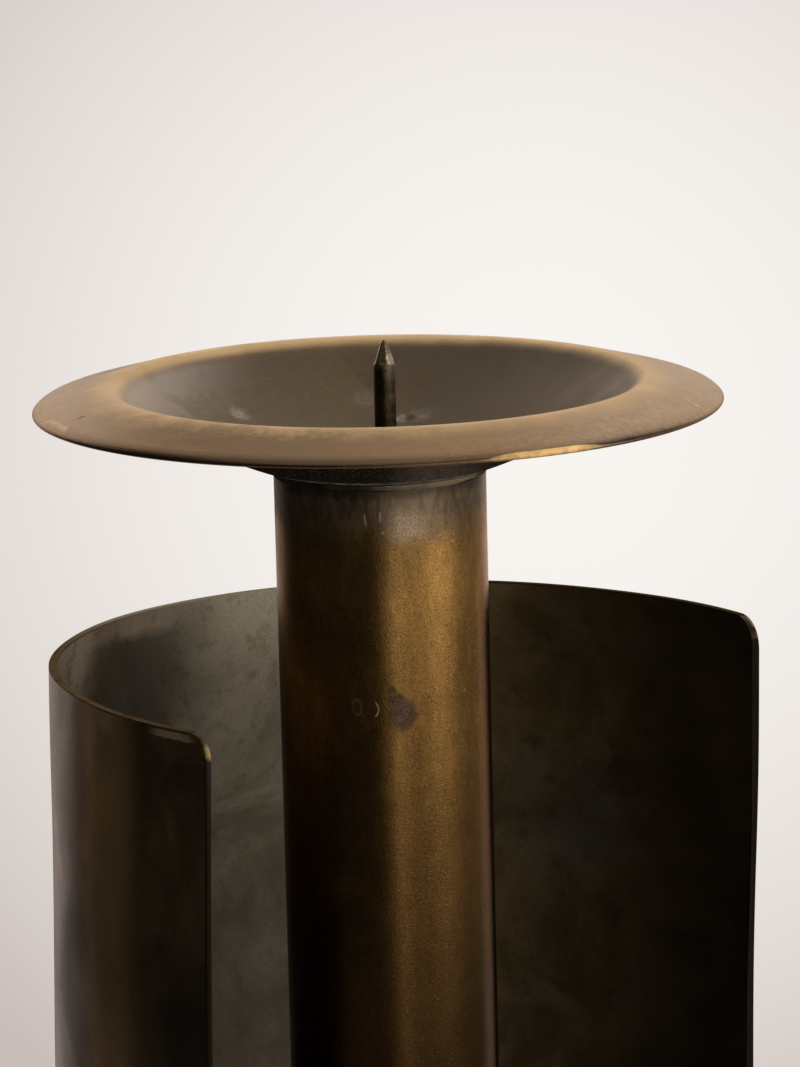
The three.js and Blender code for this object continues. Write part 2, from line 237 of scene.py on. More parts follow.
class Finish(Nodes):
    """A surface finish made of shader nodes. Its patterns lie in Object coordinates: metres to
    the right, to the back and up. A drawn mark fades between two distances from its own plane,
    MARK_DEEP and MARK_CLEAR, so that it shows on one side of the stem only. FRAY_PATCHES of
    noise to a spot's radius fray its edge."""

    MARK_DEEP = 0.003
    MARK_CLEAR = 0.004
    FRAY_PATCHES = 1.4

    def __init__(self, name, **constants):
        self.material = bpy.data.materials.new(name)
        self.material.use_nodes = True
        super().__init__(self.material.node_tree)
        self.place = self.node("ShaderNodeTexCoord", output="Object")
        self.feed(**constants)

    @staticmethod
    def spaced(sockets):
        """Sockets by their real names: an underline stands for a space."""
        return {name.replace("_", " "): value for name, value in sockets.items()}

    def feed(self, **sockets):
        """Sets the surface shader's sockets."""
        self.plug(self.tree.nodes["Principled BSDF"], self.spaced(sockets))

    def layer(self, share, **sockets):
        """Mixes a share of a second surface, with its own sockets, into the first."""
        second = self.node("ShaderNodeBsdfPrincipled", {}, self.spaced(sockets))
        first = Link(self, self.tree.nodes["Principled BSDF"].outputs[0])
        both = self.node("ShaderNodeMixShader", {}, {0: share, 1: first, 2: second})
        self.plug(self.tree.nodes["Material Output"], {"Surface": both})

    def mapped(self, location=(0, 0, 0), rotation=(0, 0, 0), scale=(1, 1, 1)):
        """The place in a frame that stands at `location`, turned and scaled."""
        return self.node("ShaderNodeMapping", {"vector_type": "TEXTURE"}, {
            "Vector": self.place, "Location": location, "Rotation": rotation, "Scale": scale})

    def cloud(self, scale, detail=4, rough=0.55, twist=0, place=None):
        """Soft noise about 0.5. `scale` is in patches to the metre."""
        return self.node("ShaderNodeTexNoise", {}, {
            "Vector": place or self.place, "Scale": scale, "Detail": detail,
            "Roughness": rough, "Distortion": twist})

    def patches(self, low, high, **noise):
        """Clouds drawn out to patches: 0 where the noise is under `low`, 1 where over `high`."""
        return self.between(self.cloud(**noise), low, high)

    def away(self, point):
        """The distance from a point."""
        return self.node("ShaderNodeVectorMath", {"operation": "DISTANCE"},
                         {0: self.place, 1: point}, output="Value")

    def near(self, point, inner, outer, fray=0):
        """A spot: 1 within `inner` of a point and 0 beyond `outer`, with an edge that noise
        moves in and out by up to half of `fray`."""
        ragged = (self.cloud(scale=self.FRAY_PATCHES / outer, detail=3) - 0.5) * fray
        return self.between(self.away(point) + ragged, outer, inner)

    def line(self, point, turn, length, width):
        """1 on a thin line through a point, along the X axis of a frame turned by `turn`. Y
        points out of the surface there."""
        along, out, across = self.apart(self.mapped(point, turn))
        line = self.between(abs(along), length / 2, length / 3)
        line = line * self.between(abs(across), width, width / 3)
        return line * self.between(abs(out), self.MARK_CLEAR, self.MARK_DEEP)

    def ring(self, point, turn, length, breadth, width):
        """1 on an ellipse round a point, long along X and broad along Z of a turned frame."""
        along, out, across = self.apart(self.mapped(point, turn))
        reach = ((along * (2 / length)) ** 2 + (across * (2 / breadth)) ** 2) ** 0.5
        line = self.between(abs(reach - 1), 2 * width / breadth, 0)
        return line * self.between(abs(out), self.MARK_CLEAR, self.MARK_DEEP)

    def specks(self, scale, size, share, step=0.02):
        """Small round dots, `scale` cells to the metre, in about that share of the cells. A
        cell's own random value picks it, over a small step."""
        settings = {"voronoi_dimensions": "3D"}
        cells = {"Vector": self.place, "Scale": scale}
        distance = self.node("ShaderNodeTexVoronoi", settings, cells)
        pick = self.node("ShaderNodeTexVoronoi", settings, cells, output="Color")
        chosen = self.between(self.apart(pick)[0], 1 - share, 1 - share + step)
        return chosen * self.between(distance, size, size / 2)

    def bump(self, height, depth):
        """The normal of a relief whose height runs from 0 to 1 over `depth` metres."""
        return self.node("ShaderNodeBump", {}, {"Height": height, "Distance": depth},
                         output="Normal")


def shown_white(finish, color, shade):
    """Lets the camera, metal and glass see `color` times `shade` on top of the lit surface."""
    rays = finish.node("ShaderNodeLightPath").socket.node.outputs
    seen = Link(finish, rays["Is Camera Ray"]) + Link(finish, rays["Is Glossy Ray"])
    seen = seen + Link(finish, rays["Is Transmission Ray"])
    finish.feed(Emission_Color=color, Emission_Strength=seen * shade)


table_outline = eased([
    (0, -TABLE_THICKNESS, 0),
    (TABLE_RADIUS, -TABLE_THICKNESS, 0),
    (TABLE_RADIUS, 0, 0),
    (0, 0, 0)], [0, TABLE_EDGE, TABLE_EDGE, 0])
table_top = surface("table_top", turned(table_outline, TABLE_STEPS), closed_across=True)
table_paint = Finish("table_paint", Roughness=0.7, Base_Color=TABLE_COLOR)
shown_white(table_paint, TABLE_GLOW, 1)
table_top.data.materials.append(table_paint.material)

swing = np.linspace(-PAPER_HALF_ARC, PAPER_HALF_ARC, PAPER_COLUMNS)[None, :]
rise = np.linspace(PAPER_LOW, PAPER_HIGH, PAPER_ROWS)[:, None]
backdrop = surface("backdrop", PAPER_RADIUS * np.stack(np.broadcast_arrays(
    np.cos(rise) * np.sin(swing), np.cos(rise) * np.cos(swing), np.sin(rise)), axis=-1))

paper = Finish("backdrop_paper", Roughness=1, Base_Color=PAPER_COLOR)
across, _, up = paper.apart(paper.place)
# Painted shade on the backdrop's white: low down it turns to PAPER_DUSK away from BRIGHT_PLACE, it
# fades with height, and SIDE_SHADE darkens its low sides.
dusk = paper.away(BRIGHT_PLACE) ** 2 * DUSK_DISTANCE ** -2
dusk = dusk * paper.between(up, 0.45, 0.05)
height = up.most(0) * PAPER_RADIUS ** -1
fade = (1 - height * height) ** 0.5
side = paper.between(abs(across), 2.15, 2.50) * paper.between(up, 0.5, -0.1)
shown_white(paper, paper.mix(dusk, PAPER_BRIGHT, PAPER_DUSK), fade * (1 - SIDE_SHADE * side))
backdrop.data.materials.append(paper.material)

room = bpy.data.worlds.new("room")
room.use_nodes = True
bpy.context.scene.world = room
air = Nodes(room.node_tree)
looked_at = air.node("ShaderNodeLightPath", output="Is Camera Ray")
air.plug(room.node_tree.nodes["Background"], {"Color": air.mix(looked_at, ROOM_LIGHT, ROOM_COLOR)})


# Lights: one large soft box on the right of the camera, whose left edge draws the left side of
# the bright band down the stem; a window within it, for the band's brightest part; a narrow
# strip, that draws the thin line near its left side; a dim wall farther round, with a low gap of
# light beyond it, for the thin line at the stem's right side; and a dim ceiling.
CEILING_HEIGHT = 2.4
CEILING_WIDTH = 2.8
CEILING_BRIGHTNESS = 0.32


def panel(name, azimuth, distance, width, low, high, brightness):
    """An upright lamp that faces the holder's axis, `azimuth` degrees to the right of the
    camera's side. Brightness is what it shows from the axis, so its power is pi times its area
    times that."""
    turn = math.radians(azimuth)
    lamp = bpy.data.objects.new(name, bpy.data.lights.new(name, "AREA"))
    lamp.data.shape = "RECTANGLE"
    lamp.data.size = width
    lamp.data.size_y = high - low
    lamp.data.energy = math.pi * width * (high - low) * brightness
    lamp.location = (distance * math.sin(turn), -distance * math.cos(turn), (high + low) / 2)
    lamp.rotation_euler = (math.pi / 2, 0, turn)
    lamp.visible_camera = False
    bpy.context.scene.collection.objects.link(lamp)


panel("soft_box", azimuth=45.5, distance=1.2, width=2.0, low=-0.13, high=0.85, brightness=0.62)
panel("window", azimuth=62, distance=1.15, width=0.55, low=-0.13, high=0.85, brightness=0.55)
panel("strip", azimuth=14, distance=1.05, width=0.035, low=-0.45, high=0.30, brightness=3.5)
panel("dim_wall", azimuth=103, distance=1.6, width=1.0, low=-0.40, high=0.80, brightness=0.24)
panel("low_gap", azimuth=127, distance=1.6, width=0.06, low=-0.75, high=-0.02, brightness=1.7)
ceiling = bpy.data.objects.new("dim_ceiling", bpy.data.lights.new("dim_ceiling", "AREA"))
ceiling.data.size = CEILING_WIDTH
ceiling.data.energy = math.pi * CEILING_WIDTH ** 2 * CEILING_BRIGHTNESS
ceiling.location = (0, 0, CEILING_HEIGHT)
ceiling.visible_camera = False
bpy.context.scene.collection.objects.link(ceiling)


# Base plate: a round brass plate, turned, with broken edges. A clearance hole and a
# counterbore take the screw that holds the stem from below.
plate_low, plate_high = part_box("base_plate")
PLATE_RADIUS = plate_high.x
PLATE_TOP = plate_high.z
PLATE_UNDER = plate_low.z
PLATE_EDGE = 0.0006
PLATE_STEPS = 192
HOLE_RADIUS = 0.004
HOLE_EDGE = 0.0002
COUNTERBORE_RADIUS = 0.009
COUNTERBORE_TOP = PLATE_UNDER + 0.0015
STEM_PLACE = (-0.006, -0.028)
RUB_REACH = 0.0004
PLATE_DARK = (0.055, 0.036, 0.018)
PLATE_BROWN = (0.115, 0.078, 0.040)
PLATE_RUBBED = (0.28, 0.195, 0.090)


def stands_for(piece, finish, slot, *nodes):
    """Gives a piece its finish, and fixes it to the holder in place of the solids named."""
    piece.data.materials.append(finish.material)
    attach(piece, "root")
    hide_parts(*nodes)


plate_outline = eased([
    (HOLE_RADIUS, PLATE_TOP, 1),
    (HOLE_RADIUS, COUNTERBORE_TOP, 1),
    (COUNTERBORE_RADIUS, COUNTERBORE_TOP, 1),
    (COUNTERBORE_RADIUS, PLATE_UNDER, 1),
    (PLATE_RADIUS, PLATE_UNDER, 0),
    (PLATE_RADIUS, PLATE_TOP, 0)], [HOLE_EDGE] * 4 + [PLATE_EDGE] * 2)
base_plate = surface("base_plate_turned", turned(plate_outline, PLATE_STEPS, STEM_PLACE),
                     closed_down=True, closed_across=True)

patina = Finish("base_patina", Metallic=0.9)
x, y, _ = patina.apart(patina.place)
rubbed = patina.between(span(x, y) + 0.0008 * patina.cloud(scale=900), PLATE_RADIUS - RUB_REACH,
                        PLATE_RADIUS + RUB_REACH)
mottle = patina.patches(0.38, 0.66, scale=55, detail=6, rough=0.65)
patina.feed(
    Base_Color=patina.coats(PLATE_DARK, (mottle, PLATE_BROWN), (rubbed, PLATE_RUBBED)),
    Roughness=0.34 + 0.2 * mottle - 0.08 * rubbed,
    Normal=patina.bump(patina.cloud(scale=2600, detail=3), 0.00002))
stands_for(base_plate, patina, "base_brass", "base_plate")


# Screen: brass sheet with two rounded top corners, bent round to part of a cylinder and
# soldered to the plate along its foot. Outside it is brown-black, with a browner upright band
# and a rubbed top edge; inside a grey-green bloom clouds it.
SCREEN_RADIUS = 0.074
SCREEN_SHEET = 0.0015
SCREEN_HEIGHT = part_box("screen_sheet")[1].z - PLATE_TOP
SCREEN_CORNER_RIGHT = 0.0060
SCREEN_CORNER_LEFT = 0.0045
SCREEN_RIGHT = math.radians(30)
SCREEN_LEFT = math.radians(235.2)
SCREEN_EDGE = 0.00035
SCREEN_WAVE = 0.00012
SCREEN_WAVES = [(1, 61, 9), (1, 143, -14)]
SCREEN_MIDDLE = SCREEN_RADIUS - SCREEN_SHEET / 2
SCREEN_COLUMNS = 161
SCREEN_ROWS = 61
CORNER_STEPS = 13
EDGE_ANGLE = math.radians(50)
CUT_SKIN = (-0.0005, -0.0002)
BAND_PLACE = (0.0620, 0.0403)

# Spots on the screen: the place, the radius that is full, the radius where it ends, and how far
# its edge is frayed.
SMOKE_SPOT = ((-0.0600, 0.0405, 0.1540), 0.006, 0.030, 0.016)
PALE_SPOT = ((-0.0712, 0.0130, 0.1640), 0.004, 0.018, 0.010)
MIST_SPOT = ((0.0277, 0.0670, 0.1190), 0.004, 0.022, 0.018)
# The front-left corner's spot is bare brass with a painted glint on it.
TIP_GLINT_SPOT = ((-0.0410, -0.0594, 0.1628), 0.0008, 0.0022, 0.001)
AMBER_SPOT = ((-0.0613, -0.0414, 0.1650), 0.0016, 0.0042, 0.0026)

BLOOM_DARK = (0.125, 0.100, 0.062)
BLOOM_PALE = (0.34, 0.285, 0.195)
UPPER_PALE = (0.64, 0.53, 0.37)
RIGHT_DARK = (0.21, 0.138, 0.052)
RIGHT_PALE = (0.38, 0.265, 0.130)
FAR_RIGHT_DARK = (0.095, 0.062, 0.025)
FAR_RIGHT_PALE = (0.16, 0.110, 0.052)
SMOKE_BROWN = (0.085, 0.070, 0.048)
BRIM_TAN = (0.66, 0.50, 0.36)
PALE_TAN = (0.95, 0.79, 0.61)
MIST_GREY = (0.20, 0.195, 0.145)
SPOT_BROWN = (0.075, 0.058, 0.032)
LOW_BROWN = (0.065, 0.046, 0.024)
OUTER_DARK = (0.15, 0.088, 0.040)
OUTER_BROWN = (0.28, 0.170, 0.080)
SHEEN_TAN = (0.93, 0.79, 0.69)
BAND_BROWN = (0.74, 0.440, 0.175)
OUTER_LOW = (0.06, 0.036, 0.016)
FRONT_LOW = (0.035, 0.022, 0.010)
RUBBED_BRASS = (0.60, 0.42, 0.24)
AMBER = (0.62, 0.39, 0.22)
TOP_BROWN = (0.165, 0.135, 0.100)
TOP_DARK = (0.07, 0.054, 0.036)
TOP_BACK_OLIVE = (0.48, 0.430, 0.310)
TOP_RIGHT_DARK = (0.06, 0.055, 0.028)
TOP_TINT = (0.42, 0.35, 0.28)
CUT_SHADE_BLACK = (0.018, 0.012, 0.006)
TIP_GLINT_GOLD = (1.0, 0.74, 0.34)
GRAIN_DARK = (0.03, 0.02, 0.01)


def bent(along, height, radius):
    """Points of a sheet bent round the screen's axis. The angle is the right-hand end's, plus
    the distance `along` the sheet over the radius of its middle line."""
    angle = SCREEN_RIGHT + along / SCREEN_MIDDLE
    return np.stack(np.broadcast_arrays(radius * np.cos(angle), radius * np.sin(angle), height),
                    axis=-1)


def rippled(along, waves, share=1):
    """A sum of waves: for each, its depth times the sine of its turns times `along` plus its
    start times `share`."""
    return sum(depth * np.sin(turns * along + start * share) for depth, turns, start in waves)


screen_length = SCREEN_MIDDLE * (SCREEN_LEFT - SCREEN_RIGHT)
corner_turn = np.linspace(0, np.pi / 2, CORNER_STEPS)
corner_inset = 1 - np.cos(corner_turn)
corner_drop = 1 - np.sin(corner_turn)
straight = np.linspace(SCREEN_CORNER_RIGHT, screen_length - SCREEN_CORNER_LEFT,
                       SCREEN_COLUMNS)[1:-1]
along = np.concatenate([SCREEN_CORNER_RIGHT * corner_inset, straight,
                        screen_length - SCREEN_CORNER_LEFT * corner_inset[::-1]])[None, :]
drop = np.concatenate([SCREEN_CORNER_RIGHT * corner_drop, 0 * straight,
                       SCREEN_CORNER_LEFT * corner_drop[::-1]])[None, :]
share = np.linspace(0, 1, SCREEN_ROWS)[:, None]
wave = SCREEN_WAVE * rippled(along, SCREEN_WAVES, share)
screen = surface("screen_bent", bent(
    along, PLATE_TOP + share * (SCREEN_HEIGHT - drop), SCREEN_MIDDLE + wave))
sheet = screen.modifiers.new("sheet", "SOLIDIFY")
sheet.thickness = SCREEN_SHEET
sheet.offset = 0
sheet.use_even_offset = True
edges = screen.modifiers.new("edges", "BEVEL")
edges.width = SCREEN_EDGE
edges.segments = 3
edges.limit_method = "ANGLE"
edges.angle_limit = EDGE_ANGLE
edges.harden_normals = True

patina = Finish("screen_patina")
x, y, z = patina.apart(patina.place)
top_edge = PLATE_TOP + SCREEN_HEIGHT
top_start = top_edge - 0.0003
outside = patina.between(span(x, y), SCREEN_MIDDLE - 0.0002, SCREEN_MIDDLE + 0.0004)
clouded = patina.patches(0.34, 0.68, scale=42, detail=7, rough=0.66, twist=0.5)
spots = patina.patches(0.52, 0.72, scale=260, rough=0.62)
grain = patina.cloud(scale=2300, detail=3, rough=0.7)

# Inside, the sheet is made paler towards the top (upper) and darker towards the foot (low).
upper = patina.between(z, 0.140, 0.168)
right_tone = patina.mix(clouded, RIGHT_DARK, RIGHT_PALE)
right_half = patina.between(x, -0.010, 0.012)
far_tone = patina.mix(clouded, FAR_RIGHT_DARK, FAR_RIGHT_PALE)
far_right = patina.between(x, 0.022, 0.050)
brim = patina.between(z + clouded * 0.002, top_edge - 0.0046, top_edge - 0.0020)
brim = brim * patina.between(x, -0.046, -0.060)
low = patina.between(z, 0.140, 0.095)
low = low * (0.15 + 0.45 * patina.between(x, -0.012, -0.026))
low = low - 0.25 * low * patina.between(abs(x + 0.030), 0.010, 0.004)
low = low + 0.45 * patina.between(z, 0.134, 0.156) * patina.between(x, 0.012, 0.026)
inner = patina.coats(
    BLOOM_DARK,
    (clouded, BLOOM_PALE),
    (upper * 0.7, UPPER_PALE),
    (right_half, right_tone),
    (far_right, far_tone),
    (patina.near(*SMOKE_SPOT) * 0.8, SMOKE_BROWN),
    (brim * 0.8, BRIM_TAN),
    (patina.near(*PALE_SPOT) * 0.95, PALE_TAN),
    (patina.near(*MIST_SPOT) * (0.3 + 0.6 * clouded), MIST_GREY),
    (spots * 0.4, SPOT_BROWN),
    (low, LOW_BROWN))

from_band = ((x + BAND_PLACE[0]) ** 2 + (y + BAND_PLACE[1]) ** 2) ** 0.5
band = patina.between(from_band + (clouded - 0.5) * 0.004, 0.0125, 0.003)
# Painted reflection: the outside's left end is made pale grey-tan, as where it reflects the bright
# backdrop.
left_edge_sheen = patina.between(x, -0.065, -0.073) * patina.between(y, 0.045, -0.005)
lower = patina.between(z, 0.150, 0.115)
front_low = patina.between(z, 0.135, 0.110) * patina.between(y, 0, -0.030)
front_low = front_low * patina.between(x, -0.056, -0.047)
under_edge = patina.between(z, top_start, top_edge - 0.0007)
worn = (patina.cloud(scale=700) - 0.5) * 0.0009
rub = patina.between(z + worn, top_edge - 0.0021, top_edge - 0.0017) * under_edge
rub = rub * patina.patches(0.32, 0.50, scale=150)
rub = rub * outside * patina.between(x, -0.0535, -0.0505)
amber = patina.near(*AMBER_SPOT) * outside * (1 - rub) * under_edge
outer = patina.coats(
    OUTER_DARK,
    (clouded, OUTER_BROWN),
    (left_edge_sheen * 0.95, SHEEN_TAN),
    (band * 0.9, BAND_BROWN),
    (lower * 0.5, OUTER_LOW),
    (front_low * 0.85, FRONT_LOW),
    (rub * 0.9, RUBBED_BRASS),
    (amber * 0.9, AMBER))

top_face = patina.between(z, top_start, top_edge - 0.0001)
top_tone = patina.coats(
    TOP_BROWN,
    (spots, TOP_DARK),
    (patina.between(y, 0.010, 0.045) * 0.8, TOP_BACK_OLIVE),
    (patina.between(x, -0.020, 0.010), TOP_RIGHT_DARK))
# Painted shade: the sheet's two cut ends, below the top corners, are made near black.
to_right_end = x * math.sin(SCREEN_RIGHT) - y * math.cos(SCREEN_RIGHT)
to_left_end = y * math.cos(SCREEN_LEFT) - x * math.sin(SCREEN_LEFT)
cut = patina.between(to_right_end, *CUT_SKIN) * patina.between(x, 0, 0.01)
cut = cut + patina.between(to_left_end, *CUT_SKIN) * patina.between(x, 0, -0.01)
cut = cut * patina.between(z, top_edge - 0.0015, top_edge - 0.0035)
patina.feed(
    Base_Color=patina.coats(
        inner,
        (outside, outer),
        (cut * 0.9, CUT_SHADE_BLACK),
        # Painted glint on the front-left corner, over bare brass.
        (patina.near(*TIP_GLINT_SPOT), TIP_GLINT_GOLD),
        (patina.between(grain, 0.5, 0.3) * 0.35, GRAIN_DARK)),
    Metallic=0.82 + 0.14 * outside - 0.75 * (rub + amber),
    Roughness=0.42 + 0.14 * clouded + 0.2 * cut,
    Normal=patina.bump(grain, 0.00003))
patina.layer(top_face, Base_Color=top_tone, Metallic=1, Roughness=0.45, Specular_Tint=TOP_TINT)
stands_for(screen, patina, "screen_brass", "screen_sheet")


# Screen solder: one soft-solder seam along the foot of the screen, inside, wiped while hot. It
# draws in towards the sheet's ends.
SEAM_LEG = 0.0025
SEAM_GAP = 0.0003
SEAM_TAPER = 0.0012
SEAM_EVEN = 0.93
SEAM_RIPPLES = [(0.04, 310, 0), (0.03, 811, 0)]
SEAM_STEPS = 241
SEAM_ARC_STEPS = 9
SOLDER_GREY = (0.20, 0.20, 0.17)
SOLDER_BLOOM = (0.42, 0.43, 0.37)

seam_along = np.linspace(SEAM_LEG, screen_length - SEAM_LEG, SEAM_STEPS)[None, :]
seam_turn = np.linspace(0, np.pi / 2, SEAM_ARC_STEPS)
to_end = np.minimum(seam_along - SEAM_LEG, screen_length - SEAM_LEG - seam_along)
seam_size = SEAM_LEG * (1 - np.exp(-to_end / SEAM_TAPER))
seam_size = seam_size * (SEAM_EVEN + rippled(seam_along, SEAM_RIPPLES))
seam_out = np.concatenate([[0], 1 - np.sin(seam_turn)])[:, None]
seam_up = np.concatenate([[0], 1 - np.cos(seam_turn)])[:, None]
seam_wall = SCREEN_RADIUS - SCREEN_SHEET - SEAM_GAP
screen_seam = surface("screen_solder_seam", bent(
    seam_along, PLATE_TOP + seam_size * seam_up, seam_wall - seam_size * seam_out),
    closed_down=True)

solder_grey = Finish("solder_grey", Metallic=0.8)
bloom = solder_grey.patches(0.42, 0.62, scale=300, detail=5)
solder_grey.feed(
    Base_Color=solder_grey.mix(bloom, SOLDER_GREY, SOLDER_BLOOM),
    Roughness=0.45 + 0.25 * bloom,
    Normal=solder_grey.bump(solder_grey.cloud(scale=1500), 0.00008))
stands_for(screen_seam, solder_grey, "solder", "screen_solder")


# Stem: drawn brass tube, cut square and stood on the plate, where it leans a little to the left.
# Its colour is a golden brown that runs from sandy under the pan to darker towards the foot,
# with a painted shadow just under the pan and painted shade down its left edge.
LEAN = math.radians(1.4)
STEM_RADIUS = 0.0196
STEM_WALL = 0.0015
STEM_LENGTH = 0.201
STEM_EDGE = 0.0003
STEM_STEPS = 160
SEAT_GAP = 0.0003
STEM_FOOT = SEAT_GAP + STEM_RADIUS * math.sin(LEAN)
STEM_TOP = STEM_FOOT + STEM_LENGTH
STEM_FRAME = {"location": (*STEM_PLACE, PLATE_TOP), "rotation": (0, -LEAN, 0)}
DRAWN_STRETCH = (1, 1, 3)

# Spots as on the screen. A scratch has its place, turn, length and width, and a ring mark its
# place, turn, length, breadth and width.
SAND_SPOT = ((-0.0061, -0.0470, 0.2020), 0.0004, 0.0052, 0.003)
DULL_SPOT = ((-0.0098, -0.0473, 0.1955), 0.002, 0.009, 0.005)
BLOT_SPOT = ((-0.0068, -0.0472, 0.1667), 0.0018, 0.0036, 0.0026)
BLOT_NECK = ((-0.0078, -0.0474, 0.1692), 0.0009, 0.0021, 0.0014)
BLOT_TAIL = ((-0.0087, -0.0475, 0.1712), 0.0003, 0.0012, 0.0010)
CRUST_SPOT = (BLOT_SPOT[0], 0.0006, 0.0026, 0.001)
PRICK_SPOT = ((-0.01027, -0.0475, 0.20045), 0.0001, 0.0004)
UPRIGHT = (0, math.pi / 2, 0)
TILTED = (0, math.pi / 2 - 0.15, 0)
LEFT_SCRATCH = ((-0.01353, -0.0474, 0.2028), TILTED, 0.0026, 0.00022)
RIGHT_SCRATCH = ((-0.01081, -0.0476, 0.2034), UPRIGHT, 0.0020, 0.00022)
LEFT_RING = ((-0.01504, -0.0469, 0.1679), TILTED, 0.0028, 0.0016, 0.00018)
BOW_PLACE = (-0.0121, -0.0475, 0.1676)
BOW_RING = (BOW_PLACE, UPRIGHT, 0.0028, 0.0020, 0.00022)

BROWN_EDGE = (0.95, 0.86, 0.78)
FOOT_BROWN = (0.070, 0.036, 0.012)
UPPER_GOLD = (0.46, 0.230, 0.060)
TOP_SAND = (0.82, 0.43, 0.120)
MOTTLE_BROWN = (0.10, 0.046, 0.012)
STREAK_BROWN = (0.09, 0.042, 0.012)
PORE_BROWN = (0.05, 0.023, 0.007)
FLECK_GOLD = (0.85, 0.58, 0.25)
GRIME_DARK = (0.095, 0.064, 0.038)
GRIME_PALE = (0.27, 0.195, 0.125)
CHALK = (0.47, 0.350, 0.235)
PAN_SHADOW_DARK = (0.045, 0.031, 0.019)
DULL_BROWN = (0.085, 0.048, 0.018)
SAND = (0.84, 0.62, 0.38)
DEPOSIT_DARK = (0.070, 0.042, 0.026)
DEPOSIT_BROWN = (0.15, 0.100, 0.066)
CRUST_TAN = (0.30, 0.215, 0.155)
SCRATCH_PALE = (0.78, 0.66, 0.50)
LEFT_EDGE_SHADE = (0.05, 0.032, 0.017)


def leaning(points, height=0):
    """Points from the stem's own frame, raised by a height along its axis, turned about Y by
    the lean and set down on the plate."""
    x, y, z = points[..., 0], points[..., 1], points[..., 2] + height
    return np.stack([
        STEM_PLACE[0] + x * math.cos(LEAN) - z * math.sin(LEAN),
        STEM_PLACE[1] + y,
        PLATE_TOP + x * math.sin(LEAN) + z * math.cos(LEAN)], axis=-1)


stem_outline = eased([
    (STEM_RADIUS - STEM_WALL, STEM_FOOT, 0),
    (STEM_RADIUS, STEM_FOOT, 0),
    (STEM_RADIUS, STEM_TOP, 0),
    (STEM_RADIUS - STEM_WALL, STEM_TOP, 0)], STEM_EDGE)
stem_tube = surface("stem_tube_drawn", leaning(turned(stem_outline, STEM_STEPS)),
                    closed_down=True, closed_across=True)

patina = Finish("stem_patina", Specular_Tint=BROWN_EDGE)
x, _, up = patina.apart(patina.mapped(**STEM_FRAME))
drawn = patina.mapped(**STEM_FRAME, scale=DRAWN_STRETCH)
mottle = patina.patches(0.36, 0.66, scale=75, detail=7, rough=0.66, twist=0.4)
streaks = patina.patches(0.36, 0.68, scale=620, detail=5, rough=0.65, twist=0.3, place=drawn)
grain = patina.cloud(scale=2600, detail=3, rough=0.7)
grit = patina.patches(0.45, 0.58, scale=3600, detail=3, rough=0.7)
flecks = patina.patches(0.56, 0.66, scale=3300, detail=3, rough=0.7)
flecks = flecks * (0.10 + 0.30 * patina.between(up, 0.10, 0.19))

ragged = (patina.cloud(scale=260, detail=6, rough=0.7) - 0.5) * 0.016
soot = patina.between(up + ragged, 0.189, 0.1985)
grime = patina.patches(0.36, 0.64, scale=700, detail=6, rough=0.75, twist=0.3, place=drawn)
chalky = patina.within(x, 0.0005, 0.0050, 0.0075, 0.0120)
grime = patina.coats(
    GRIME_DARK, (grime, GRIME_PALE), (chalky * (0.3 + 0.4 * streaks), CHALK))
# Painted shadow of the pan: a dark band round the stem's top, just under the bowl.
pan_shadow = patina.between(up + (streaks - 0.5) * 0.0008, STEM_TOP - 0.0026, STEM_TOP - 0.0006)

blot = patina.near(*BLOT_SPOT).most(patina.near(*BLOT_NECK)).most(patina.near(*BLOT_TAIL))
crust = patina.patches(0.45, 0.62, scale=520, detail=5, rough=0.7) * patina.near(*CRUST_SPOT)
deposit = patina.coats(DEPOSIT_DARK, (grit, DEPOSIT_BROWN), (crust * 0.5, CRUST_TAN))

marks = patina.line(*LEFT_SCRATCH) + patina.line(*RIGHT_SCRATCH)
marks = marks + 0.35 * patina.ring(*LEFT_RING)
right_of_bow = patina.apart(patina.mapped(BOW_PLACE, UPRIGHT))[2]
marks = marks + patina.ring(*BOW_RING) * patina.between(right_of_bow, 0.0002, 0.0006)
marks = marks + 0.7 * patina.near(*PRICK_SPOT)
specks = patina.specks(scale=420, size=0.16, share=0.10)
marks = marks + 0.6 * specks * patina.between(up, 0.12, 0.20)

tone = patina.coats(
    FOOT_BROWN,
    (patina.between(up, 0.080, 0.185), UPPER_GOLD),
    (patina.between(up, 0.165, 0.192) * 0.5, TOP_SAND),
    ((1 - mottle) * 0.34, MOTTLE_BROWN),
    ((1 - streaks) * 0.28, STREAK_BROWN),
    (patina.between(grain, 0.50, 0.34) * 0.5, PORE_BROWN),
    (flecks, FLECK_GOLD),
    (soot * 0.85, grime),
    (pan_shadow * 0.65, PAN_SHADOW_DARK),
    (patina.near(*DULL_SPOT) * 0.35, DULL_BROWN),
    (patina.near(*SAND_SPOT) * (0.20 + 0.60 * grit), SAND),
    (blot * 0.85, deposit),
    (marks * 0.8, SCRATCH_PALE),
    # Painted shade down the stem's left edge, the side away from the lights.
    (patina.between(x, -0.0165, -0.0190) * 0.6, LEFT_EDGE_SHADE))
relief = patina.bump(grain, 0.00004)
patina.feed(
    Base_Color=tone,
    Metallic=1 - 0.35 * soot,
    Roughness=(0.28 + 0.08 * mottle + 0.14 * blot + 0.12 * soot + 0.35 * marks
               - 0.18 * patina.between(x, 0.013, 0.017)),
    Normal=relief)
patina.layer(0.16 - 0.12 * soot, Base_Color=tone, Metallic=1, Roughness=0.09,
             Specular_Tint=BROWN_EDGE, Normal=relief)
stands_for(stem_tube, patina, "stem_brass", "stem_tube")


